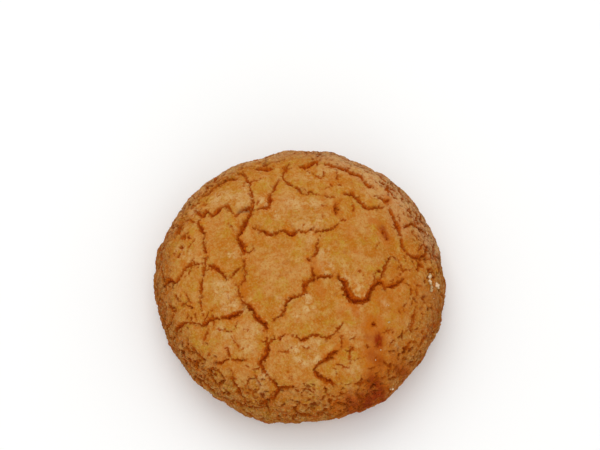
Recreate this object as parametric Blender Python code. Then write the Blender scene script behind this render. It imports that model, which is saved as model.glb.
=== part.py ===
"""A coconut macaroon: one baked dome, 70 mm across, resting on its flat underside.

The crust is drawn on a flat disc, as if the skin of the dome had been peeled off and
unrolled from the crown outwards, and then wrapped back on to the turned form. That keeps
every crack as wide on the steep flank as it is on the crown.
Metres and +Z up in the scene; the sizes below are in millimetres.
"""

import collections
import math
import random

import bmesh
import bpy
from mathutils import Vector, kdtree, noise
from mathutils.geometry import delaunay_2d_cdt

MM = 0.001

# Turned form
WIDTH = 69.0
HEIGHT = 25.0
BELT_HEIGHT = 7.0
FOOT_WIDTH = 59.0
CROWN_POWER = 2.15
FLANK_POWER = 2.2
PROFILE_STEPS = 720

# Out-of-round lobes: how many go round, how far each stands out, where the first one is
LOBES = ((2, 0.5, 0.2), (3, 0.2, 2.75), (4, 0.1, 1.5))

# Swells of the crust: distance from one to the next, and height
SWELLS = ((15.0, 0.75), (6.5, 0.50), (3.2, 0.18))

# Crack section: the mouth runs past its named width by its soft edges, the crust beside it
# sinks at the shoulders or is lifted at the lip, and both ends taper to a share of full size
MOUTH_SHARE = 0.6
SHOULDER_DROP = 0.5
SHOULDER_REACH = 1.6
LIP_LIFT = 0.7
LIP_REACH = 2.2
END_TAPER = 2.0
END_SHARE = 0.35

# How far a crack strays from its route, and the distance from one bend to the next
STRAY = 0.35
STRAY_APART = 2.6

# Slits low on the flank
SLIT_COUNT = 34
SLIT_LENGTHS = (3.0, 8.0)
SLIT_BAND = (34.0, 47.0)
SLIT_MOUTH = 0.5
SLIT_DEPTH = 0.55
SLIT_SEED = 11

# Burst bubbles: the largest holes, each seen from straight above with its radius, and more of
# them round the flank
HOLES = ((21, 20.5, 0.75), (-31, 13, 0.7), (-28.5, 11, 0.7), (-31.5, 11.5, 0.5), (-25.5, 8, 0.6), (-26, -20, 0.5),
         (-14, -28.5, 0.8), (7, -31.5, 0.6))
PIT_COUNT = 70
PIT_RADII = (0.45, 0.9)
PIT_BAND = (33.0, 49.0)
PIT_DEPTH = 0.6
PIT_SEED = 5

# Facet sizes, and the least distance between two corners on a crack and off it
CRACK_STEP = 0.9
CRUST_STEP = 1.3
FOOT_STEP = 4.0
LIP_ROW_GAP = 0.15
CRACK_CLEAR = 0.42
CRUST_CLEAR = 0.85

# The relief dies away over this distance at the foot, so that the underside is flat
FOOT_FADE = 4.0

CRUST_COLOUR = (0.46, 0.16, 0.026, 1.0)
CRUST_ROUGHNESS = 0.85

# Each crack is a route over the crust as seen from straight above, in millimetres from the
# crown. The raised lip is on the left (1) or the right (-1) of the route, or there is none (0).
Crack = collections.namedtuple("Crack", "name mouth depth raised route")
CRACKS = (
    Crack("left tear, top", 0.55, 0.5, 1, ((-13.5, 24.5), (-12, 20.5), (-10.5, 15.5))),
    Crack("left tear", 1.25, 1.0, 1, ((-10.5, 15.5), (-12.5, 11.5), (-15, 7.5), (-13, 3))),
    Crack("left tear, middle", 0.45, 0.45, 1, ((-13, 3), (-13, -0.5), (-14, -5))),
    Crack("left tear, low", 0.85, 0.75, 1, ((-14, -5), (-13, -9.5), (-10.5, -12), (-7.5, -16))),
    Crack("left recess", 0.7, 0.6, 1, ((-15, 12.5), (-13.5, 14), (-10.5, 15.5))),
    Crack("stem", 0.6, 0.6, -1, ((-7.5, -16), (-7, -19), (-8.5, -21.5), (-8.5, -25.5), (-5, -28.5),
                                 (-8, -31), (-7, -32.5))),
    Crack("rising bend", 0.5, 0.55, 1, ((-7.5, -16), (-4, -12), (-3, -10), (0, -8.5), (1, -6), (3.5, -4.5))),
    Crack("right tear", 0.95, 1.0, 1, ((3.5, -4.5), (6, -4), (8, -4), (10.5, -6), (12, -9), (14, -9.5),
                                       (16, -7.5), (18, -5), (21, -5), (24, -3.5))),
    Crack("spur", 0.5, 0.5, 1, ((3.5, -4.5), (2.5, -1.5), (3, 1), (4, 2.5), (4.5, 6.5))),
    Crack("brow", 0.45, 0.5, 1, ((-12, 10), (-9, 7.5), (-5.5, 8), (-2, 7.5), (0, 8.5), (3.5, 7), (6, 8),
                                 (10.5, 11))),
    Crack("brow, right", 0.6, 0.5, -1, ((9.5, 10), (8.5, 13.5), (7, 16.5))),
    Crack("upper fork", 0.55, 0.5, 0, ((-4, 22.5), (-6, 19.5), (-6.5, 17.5), (-9, 14), (-11, 13))),
    Crack("back rim, left", 0.65, 0.65, 1, ((-24, 20), (-19, 23.5), (-15.5, 23.5), (-11.5, 27), (-6, 26))),
    Crack("back rim, middle", 0.65, 0.65, 1, ((-1, 26), (1, 26), (3.5, 28), (7, 26.5), (10.5, 26), (12.5, 24))),
    Crack("back rim, right", 0.75, 0.7, 1, ((12.5, 24), (15.5, 21.5), (19.5, 17), (23, 12), (24, 6), (25, 4.5))),
    Crack("scale on the right", 0.8, 0.7, 1, ((25, 4.5), (28, 3.5), (30, 5), (31, 7))),
    Crack("scale, back", 0.6, 0.6, 1, ((23.5, 9.5), (25, 11.5), (27.5, 13), (30.5, 11))),
    Crack("back fork", 0.55, 0.5, 0, ((-3, 27), (-4, 24), (-3.5, 22), (-1.5, 20.5), (0.5, 18), (3, 18))),
    Crack("back plate, left", 0.5, 0.5, 0, ((9.5, 25.5), (8.5, 21.5), (7, 20.5), (8, 18.5))),
    Crack("back plate, right", 0.55, 0.55, 1, ((7.5, 16.5), (11, 18), (14, 16), (16, 14), (19.5, 14.5))),
    Crack("left shoulder", 0.6, 0.55, 0, ((-26, 18.5), (-25, 16), (-23.5, 14), (-20, 15), (-17.5, 15),
                                         (-15.5, 12.5))),
    Crack("left plate", 0.5, 0.5, 1, ((-23.5, 14), (-24, 11.5), (-22.5, 9), (-22.5, 5), (-21.5, 2.5))),
    Crack("left flank", 0.5, 0.5, 0, ((-32.5, -2.5), (-28.5, -2), (-27, 0.5), (-22, 1.5))),
    Crack("lower left", 0.55, 0.55, 1, ((-29.5, -13.5), (-29, -12.5), (-24, -13.5), (-21.5, -12.5),
                                       (-16.5, -12.5), (-14, -9))),
    Crack("front left", 0.45, 0.45, 0, ((-23, -21.5), (-19, -22), (-16, -21.5), (-12.5, -22.5))),
    Crack("front seam", 0.45, 0.45, 0, ((-7, -19), (-3.5, -17.5), (0, -18.5), (3, -17), (6, -17.5), (10, -14.5))),
    Crack("front right", 0.5, 0.5, -1, ((8, -20.5), (5, -22.5), (3.5, -24.5), (5, -26.5), (8.5, -27.5))),
    Crack("small right", 0.5, 0.5, 0, ((19, -4.5), (19, -2), (20.5, 0.5), (22.5, 3))),
)


DEEPEST = max(crack.depth for crack in CRACKS)


def power_arc(steps, power, inner, outer, low, high):
    """A quarter of a superellipse from (inner, high) to (outer, low), as (radius, height) pairs."""
    pairs = []
    for step in range(steps + 1):
        angle = math.pi / 2 * step / steps
        across = math.sin(angle) ** (2 / power)
        up = math.cos(angle) ** (2 / power) if step < steps else 0.0
        pairs.append((inner + (outer - inner) * across, low + (high - low) * up))
    return pairs


def turned_profile():
    """(distance over the skin, radius, height) from the crown to the edge of the underside."""
    half = WIDTH / 2
    crown = power_arc(PROFILE_STEPS, CROWN_POWER, 0.0, half, BELT_HEIGHT, HEIGHT)
    flank = power_arc(PROFILE_STEPS // 3, FLANK_POWER, FOOT_WIDTH / 2, half, BELT_HEIGHT, 0.0)
    flank.reverse()
    rows = [(0.0, 0.0, HEIGHT)]
    for radius, height in crown[1:] + flank[1:]:
        last = rows[-1]
        rows.append((last[0] + math.hypot(radius - last[1], height - last[2]), radius, height))
    return rows


PROFILE = turned_profile()
SKIN_REACH = PROFILE[-1][0]


def profile_at(distance):
    """Radius, height and outward direction (radial, vertical) at a distance over the skin."""
    distance = min(max(distance, 0.0), SKIN_REACH)
    low, high = 0, len(PROFILE) - 1
    while high - low > 1:
        middle = (low + high) // 2
        if PROFILE[middle][0] <= distance:
            low = middle
        else:
            high = middle
    start, end = PROFILE[low], PROFILE[high]
    part = (distance - start[0]) / (end[0] - start[0])
    radius = start[1] + (end[1] - start[1]) * part
    height = start[2] + (end[2] - start[2]) * part
    run = math.hypot(end[1] - start[1], end[2] - start[2])
    return radius, height, (start[2] - end[2]) / run, (end[1] - start[1]) / run


def out_of_round(angle):
    """How much wider than the turned form the macaroon is in this direction."""
    stand_out = sum(height * math.cos(count * angle + phase) for count, height, phase in LOBES)
    return 1.0 + stand_out / (WIDTH / 2)


def skin_distance(plan_radius):
    """Distance over the skin from the crown to a radius seen from above."""
    for distance, radius, _ in PROFILE:
        if radius >= plan_radius:
            return distance
    raise ValueError(f"{plan_radius} mm is wider than the macaroon")


def unroll(plan):
    """The place on the unrolled disc of a point seen from straight above."""
    angle = math.atan2(plan[1], plan[0])
    reach = skin_distance(math.hypot(plan[0], plan[1]) / out_of_round(angle))
    return Vector((reach * math.cos(angle), reach * math.sin(angle)))


def wrap(flat, lift):
    """The place on the macaroon of a point of the disc, raised along the skin's normal."""
    angle = math.atan2(flat.y, flat.x)
    radius, height, outward, upward = profile_at(flat.length)
    radius = radius * out_of_round(angle) + outward * lift
    return Vector((radius * math.cos(angle), radius * math.sin(angle), height + upward * lift))


def smooth_route(corners, spacing):
    """Points about one spacing apart on a smooth curve through the corners."""
    ends = [2 * corners[0] - corners[1], *corners, 2 * corners[-1] - corners[-2]]
    points = []
    for before, start, end, after in zip(ends, ends[1:], ends[2:], ends[3:]):
        count = max(1, round((end - start).length / spacing))
        for step in range(count):
            t = step / count
            bend = (end - before) + t * (2 * before - 5 * start + 4 * end - after)
            bend += t * t * (3 * start - before - 3 * end + after)
            points.append(start + 0.5 * t * bend)
    points.append(corners[-1])
    return points


def slit_routes():
    """Short slits along the lower flank, each nearly level, at places drawn from one seed."""
    draw = random.Random(SLIT_SEED)
    routes = []
    for number in range(SLIT_COUNT):
        middle = 2 * math.pi * (number + draw.uniform(0.1, 0.9)) / SLIT_COUNT
        reach = draw.uniform(*SLIT_BAND)
        half = draw.uniform(*SLIT_LENGTHS) / 2 / reach
        slope = draw.uniform(-1.6, 1.6)
        corners = []
        for side in (-1, 0, 1):
            angle = middle + side * half
            distance = reach + side * slope + draw.uniform(-0.5, 0.5)
            corners.append(Vector((distance * math.cos(angle), distance * math.sin(angle))))
        routes.append(corners)
    return routes


def strayed(point, along):
    """A point of a crack's route, moved to one side as a real crack wanders."""
    offset = STRAY * noise.noise(point.to_3d() / STRAY_APART)
    return point + Vector((-along.y, along.x)) * offset


# A place along a crack: where, which way it runs, and how wide, deep and raised it is there
Bed = collections.namedtuple("Bed", "place along mouth depth raised")


def crack_beds(spacing):
    """All the cracks as beds one spacing apart, fading out towards both ends of each crack."""
    drawn = [(crack.mouth, crack.depth, crack.raised, [unroll(point) for point in crack.route])
             for crack in CRACKS]
    drawn += [(SLIT_MOUTH, SLIT_DEPTH, 0, corners) for corners in slit_routes()]
    beds = []
    for mouth, depth, raised, corners in drawn:
        points = smooth_route(corners, spacing)
        for index, point in enumerate(points):
            along = (points[min(index + 1, len(points) - 1)] - points[max(index - 1, 0)]).normalized()
            to_end = min(index, len(points) - 1 - index) * spacing
            fade = END_SHARE + (1.0 - END_SHARE) * min(1.0, to_end / END_TAPER)
            beds.append(Bed(strayed(point, along), along, mouth * fade, depth * fade, raised))
    return beds


def pits():
    """(place, radius) of each burst bubble: the largest holes, then those drawn from one seed."""
    draw = random.Random(PIT_SEED)
    found = [(unroll((x, y)), radius) for x, y, radius in HOLES]
    for _ in range(PIT_COUNT):
        angle = draw.uniform(0, 2 * math.pi)
        reach = draw.uniform(*PIT_BAND)
        found.append((Vector((reach * math.cos(angle), reach * math.sin(angle))), draw.uniform(*PIT_RADII)))
    return found


def nearest_finder(places):
    """A tree that finds the nearest of these places on the disc."""
    tree = kdtree.KDTree(len(places))
    for index, place in enumerate(places):
        tree.insert(place.to_3d(), index)
    tree.balance()
    return tree


def relief(flat, beds, finder, hollows, hollow_finder):
    """Height of the crust over the turned form: swells, cracks, the lips beside them, and pits."""
    place = wrap(flat, 0.0)
    height = sum(tall * noise.noise(place / apart) for apart, tall in SWELLS)
    _, index, gap = finder.find(flat.to_3d())
    bed = beds[index]
    offset = flat - bed.place
    side = 1.0 if bed.along.x * offset.y - bed.along.y * offset.x > 0 else -1.0
    depth_share = bed.depth / DEEPEST
    height -= depth_share * SHOULDER_DROP * math.exp(-((gap / SHOULDER_REACH) ** 2))
    if side == bed.raised:
        height += depth_share * LIP_LIFT * math.exp(-gap / LIP_REACH)
    height -= bed.depth * max(0.0, 1.0 - gap / (MOUTH_SHARE * bed.mouth)) ** 0.5
    _, index, gap = hollow_finder.find(flat.to_3d())
    height -= PIT_DEPTH * max(0.0, 1.0 - (gap / hollows[index][1]) ** 2)
    fade = min(1.0, (SKIN_REACH - flat.length) / FOOT_FADE)
    return height * fade


def facet_places(beds, hollows):
    """The corners of the facets on the disc: rows along each crack, the pits, and rings elsewhere."""
    rows = [bed.place for bed in beds] + [place for place, _ in hollows]
    for side in (1, -1):
        for bed in beds:
            across = Vector((-bed.along.y, bed.along.x)) * side
            rows.append(bed.place + across * (MOUTH_SHARE * bed.mouth + LIP_ROW_GAP))
    rings = [Vector((0.0, 0.0))]
    count = round(SKIN_REACH / CRUST_STEP)
    for ring in range(1, count):
        reach = SKIN_REACH * ring / count
        around = round(2 * math.pi * profile_at(reach)[0] / CRUST_STEP)
        for step in range(around):
            angle = 2 * math.pi * (step + ring % 2 / 2) / around
            rings.append(Vector((reach * math.cos(angle), reach * math.sin(angle))))
    limit = SKIN_REACH - CRUST_CLEAR
    kept = []
    cells = collections.defaultdict(list)
    for place, clear in [(row, CRACK_CLEAR) for row in rows] + [(ring, CRUST_CLEAR) for ring in rings]:
        if place.length > limit:
            continue
        cell = (math.floor(place.x / CRUST_STEP), math.floor(place.y / CRUST_STEP))
        around = [near for dx in (-1, 0, 1) for dy in (-1, 0, 1) for near in cells[cell[0] + dx, cell[1] + dy]]
        if all((near - place).length > clear for near in around):
            kept.append(place)
            cells[cell].append(place)
    return kept


def ring_places(radius, step):
    """Places about one step apart round a circle."""
    count = round(2 * math.pi * radius / step)
    return [Vector((radius * math.cos(2 * math.pi * i / count), radius * math.sin(2 * math.pi * i / count)))
            for i in range(count)]


def add_facets(mesh, flats, corners, upwards):
    """Joins corners into triangles that are well shaped on the flat disc."""
    _, _, triangles, originals, _, _ = delaunay_2d_cdt(flats, [], [], 0, 1e-6)
    assert all(len(origin) == 1 and origin[0] == index for index, origin in enumerate(originals))
    for a, b, c in triangles:
        turn = (flats[b] - flats[a]).cross(flats[c] - flats[a])
        order = (a, b, c) if (turn > 0) == upwards else (a, c, b)
        mesh.faces.new([corners[index] for index in order])


def macaroon_mesh():
    """The closed mesh: the crust wrapped on to the turned form, and the flat underside."""
    beds = crack_beds(CRACK_STEP)
    finder = nearest_finder([bed.place for bed in beds])
    hollows = pits()
    hollow_finder = nearest_finder([place for place, _ in hollows])
    inside = facet_places(beds, hollows)
    edge = ring_places(SKIN_REACH, CRUST_STEP * SKIN_REACH * 2 / FOOT_WIDTH)
    crust_flats = inside + edge
    body = bmesh.new()
    crust = []
    for flat in crust_flats:
        height = relief(flat, beds, finder, hollows, hollow_finder)
        crust.append(body.verts.new(wrap(flat, height) * MM))
    add_facets(body, crust_flats, crust, True)

    rim = crust[len(inside):]
    middles = [Vector((0.0, 0.0))]
    for ring in range(1, int(FOOT_WIDTH / 2 / FOOT_STEP)):
        middles += ring_places(ring * FOOT_STEP, FOOT_STEP)
    foot = [body.verts.new((middle * MM).to_3d()) for middle in middles]
    add_facets(body, middles + [corner.co.to_2d() / MM for corner in rim], foot + rim, False)
    return body


def centre_on_foot(body):
    """Puts the middle of the plan over the origin and the underside on the floor."""
    spans = [[corner.co[axis] for corner in body.verts] for axis in range(3)]
    middle = Vector(((min(spans[0]) + max(spans[0])) / 2, (min(spans[1]) + max(spans[1])) / 2, min(spans[2])))
    for corner in body.verts:
        corner.co -= middle


def crust_material():
    material = bpy.data.materials.new("baked_crust")
    material.diffuse_color = CRUST_COLOUR
    material.use_nodes = True
    shader = material.node_tree.nodes["Principled BSDF"]
    shader.inputs["Base Color"].default_value = CRUST_COLOUR
    shader.inputs["Roughness"].default_value = CRUST_ROUGHNESS
    shader.inputs["Metallic"].default_value = 0.0
    return material


def main():
    for item in list(bpy.data.objects):
        bpy.data.objects.remove(item, do_unlink=True)
    body = macaroon_mesh()
    centre_on_foot(body)
    mesh = bpy.data.meshes.new("macaroon")
    body.to_mesh(mesh)
    body.free()
    mesh.materials.append(crust_material())
    mesh.shade_smooth()
    mesh.set_sharp_from_angle(angle=math.radians(60))
    macaroon = bpy.data.objects.new("macaroon", mesh)
    bpy.context.scene.collection.objects.link(macaroon)


main()
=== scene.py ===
"""The looks of a coconut macaroon: its cracked crust, the crumb in its tears, and the sugar on it."""

import collections
import math
import random

import bmesh
import bpy
import numpy as np
from mathutils import Euler, Matrix, Vector, kdtree, noise
from mathutils.bvhtree import BVHTree
from mathutils.geometry import delaunay_2d_cdt


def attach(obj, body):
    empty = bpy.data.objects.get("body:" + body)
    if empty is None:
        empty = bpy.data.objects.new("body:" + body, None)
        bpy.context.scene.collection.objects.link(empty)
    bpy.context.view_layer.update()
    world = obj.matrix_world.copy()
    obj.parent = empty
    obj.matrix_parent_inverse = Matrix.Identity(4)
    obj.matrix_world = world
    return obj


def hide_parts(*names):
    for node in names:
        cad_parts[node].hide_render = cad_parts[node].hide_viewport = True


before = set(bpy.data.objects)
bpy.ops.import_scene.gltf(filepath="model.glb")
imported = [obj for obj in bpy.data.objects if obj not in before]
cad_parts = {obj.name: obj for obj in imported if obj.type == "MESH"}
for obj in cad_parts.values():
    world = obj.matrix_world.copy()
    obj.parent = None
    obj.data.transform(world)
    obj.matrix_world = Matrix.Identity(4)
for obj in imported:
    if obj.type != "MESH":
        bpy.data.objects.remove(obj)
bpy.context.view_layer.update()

# The mound: a scoop of coconut and egg white that baked into a low dome with a tucked-in foot.
# Its skin is drawn on a flat disc, unrolled from the crown outwards, and wrapped back on to this
# turned form, in millimetres.
MM = 0.001
WIDTH = 69.0
HEIGHT = 25.0
BELT_HEIGHT = 7.0
FOOT_WIDTH = 59.0
CROWN_POWER = 2.15
FLANK_POWER = 2.2
LOBES = ((2, 0.5, 0.2), (3, 0.2, 2.75), (4, 0.1, 1.5))
SWELLS = ((15.0, 0.75), (6.5, 0.50), (3.2, 0.18))
FOOT_FADE = 4.0


def turned_profile(steps=720):
    """(distance over the skin, radius, height) from the crown to the edge of the underside."""
    half = WIDTH / 2
    turn = np.linspace(0.0, math.pi / 2, steps + 1)
    crown_radius = half * np.sin(turn) ** (2 / CROWN_POWER)
    crown_height = BELT_HEIGHT + (HEIGHT - BELT_HEIGHT) * np.cos(turn).clip(0) ** (2 / CROWN_POWER)
    tuck = half - FOOT_WIDTH / 2
    flank_radius = FOOT_WIDTH / 2 + tuck * np.sin(turn[::-1]) ** (2 / FLANK_POWER)
    flank_height = BELT_HEIGHT * (1 - np.cos(turn[::-1]).clip(0) ** (2 / FLANK_POWER))
    radius = np.concatenate([crown_radius, flank_radius[1:]])
    height = np.concatenate([crown_height, flank_height[1:]])
    stride = np.hypot(np.diff(radius), np.diff(height))
    return np.concatenate([[0.0], stride.cumsum()]), radius, height


SKIN, RADIUS, RISE = turned_profile()
SKIN_REACH = SKIN[-1]
OUTWARD = -np.gradient(RISE, SKIN)
UPWARD = np.gradient(RADIUS, SKIN)
BELT = RADIUS.argmax()


def out_of_round(angle):
    """How much wider than the turned form the macaroon is in this direction."""
    return 1.0 + sum(tall * np.cos(count * angle + phase) for count, tall, phase in LOBES) / (WIDTH / 2)


def unrolled(plan):
    """Places on the disc of points seen from straight above."""
    plan = np.array(plan, float)
    angle = np.arctan2(plan[:, 1], plan[:, 0])
    girth = np.hypot(plan[:, 0], plan[:, 1]) / out_of_round(angle)
    reach = np.interp(girth, RADIUS[:BELT + 1], SKIN[:BELT + 1])
    return np.column_stack([reach * np.cos(angle), reach * np.sin(angle)])


def wrapped(flats, lift=0.0):
    """Places on the macaroon of places on the disc, raised along the skin's normal."""
    reach = np.hypot(flats[:, 0], flats[:, 1])
    angle = np.arctan2(flats[:, 1], flats[:, 0])
    outward = np.interp(reach, SKIN, OUTWARD)
    upward = np.interp(reach, SKIN, UPWARD)
    radius = np.interp(reach, SKIN, RADIUS) * out_of_round(angle) + outward * lift
    height = np.interp(reach, SKIN, RISE) + upward * lift
    return np.column_stack([radius * np.cos(angle), radius * np.sin(angle), height])


def soft_noise(places, apart, layer=0.0):
    """Smooth noise from about -1 to 1, one swell every so many millimetres."""
    return np.array([noise.noise(Vector(place)) for place in (places / apart + layer).tolist()])


def rough_noise(places, apart, octaves, layer=0.0, smoothness=0.9):
    """Noise with finer and finer swells on top of each other."""
    shifted = (places / apart + layer).tolist()
    return np.array([noise.fractal(Vector(place), smoothness, 2.0, octaves) for place in shifted])


def eased(low, high, value):
    """0 below low, 1 above high, and a smooth step between them."""
    part = np.clip((value - low) / (high - low), 0.0, 1.0)
    return part * part * (3.0 - 2.0 * part)


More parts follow.
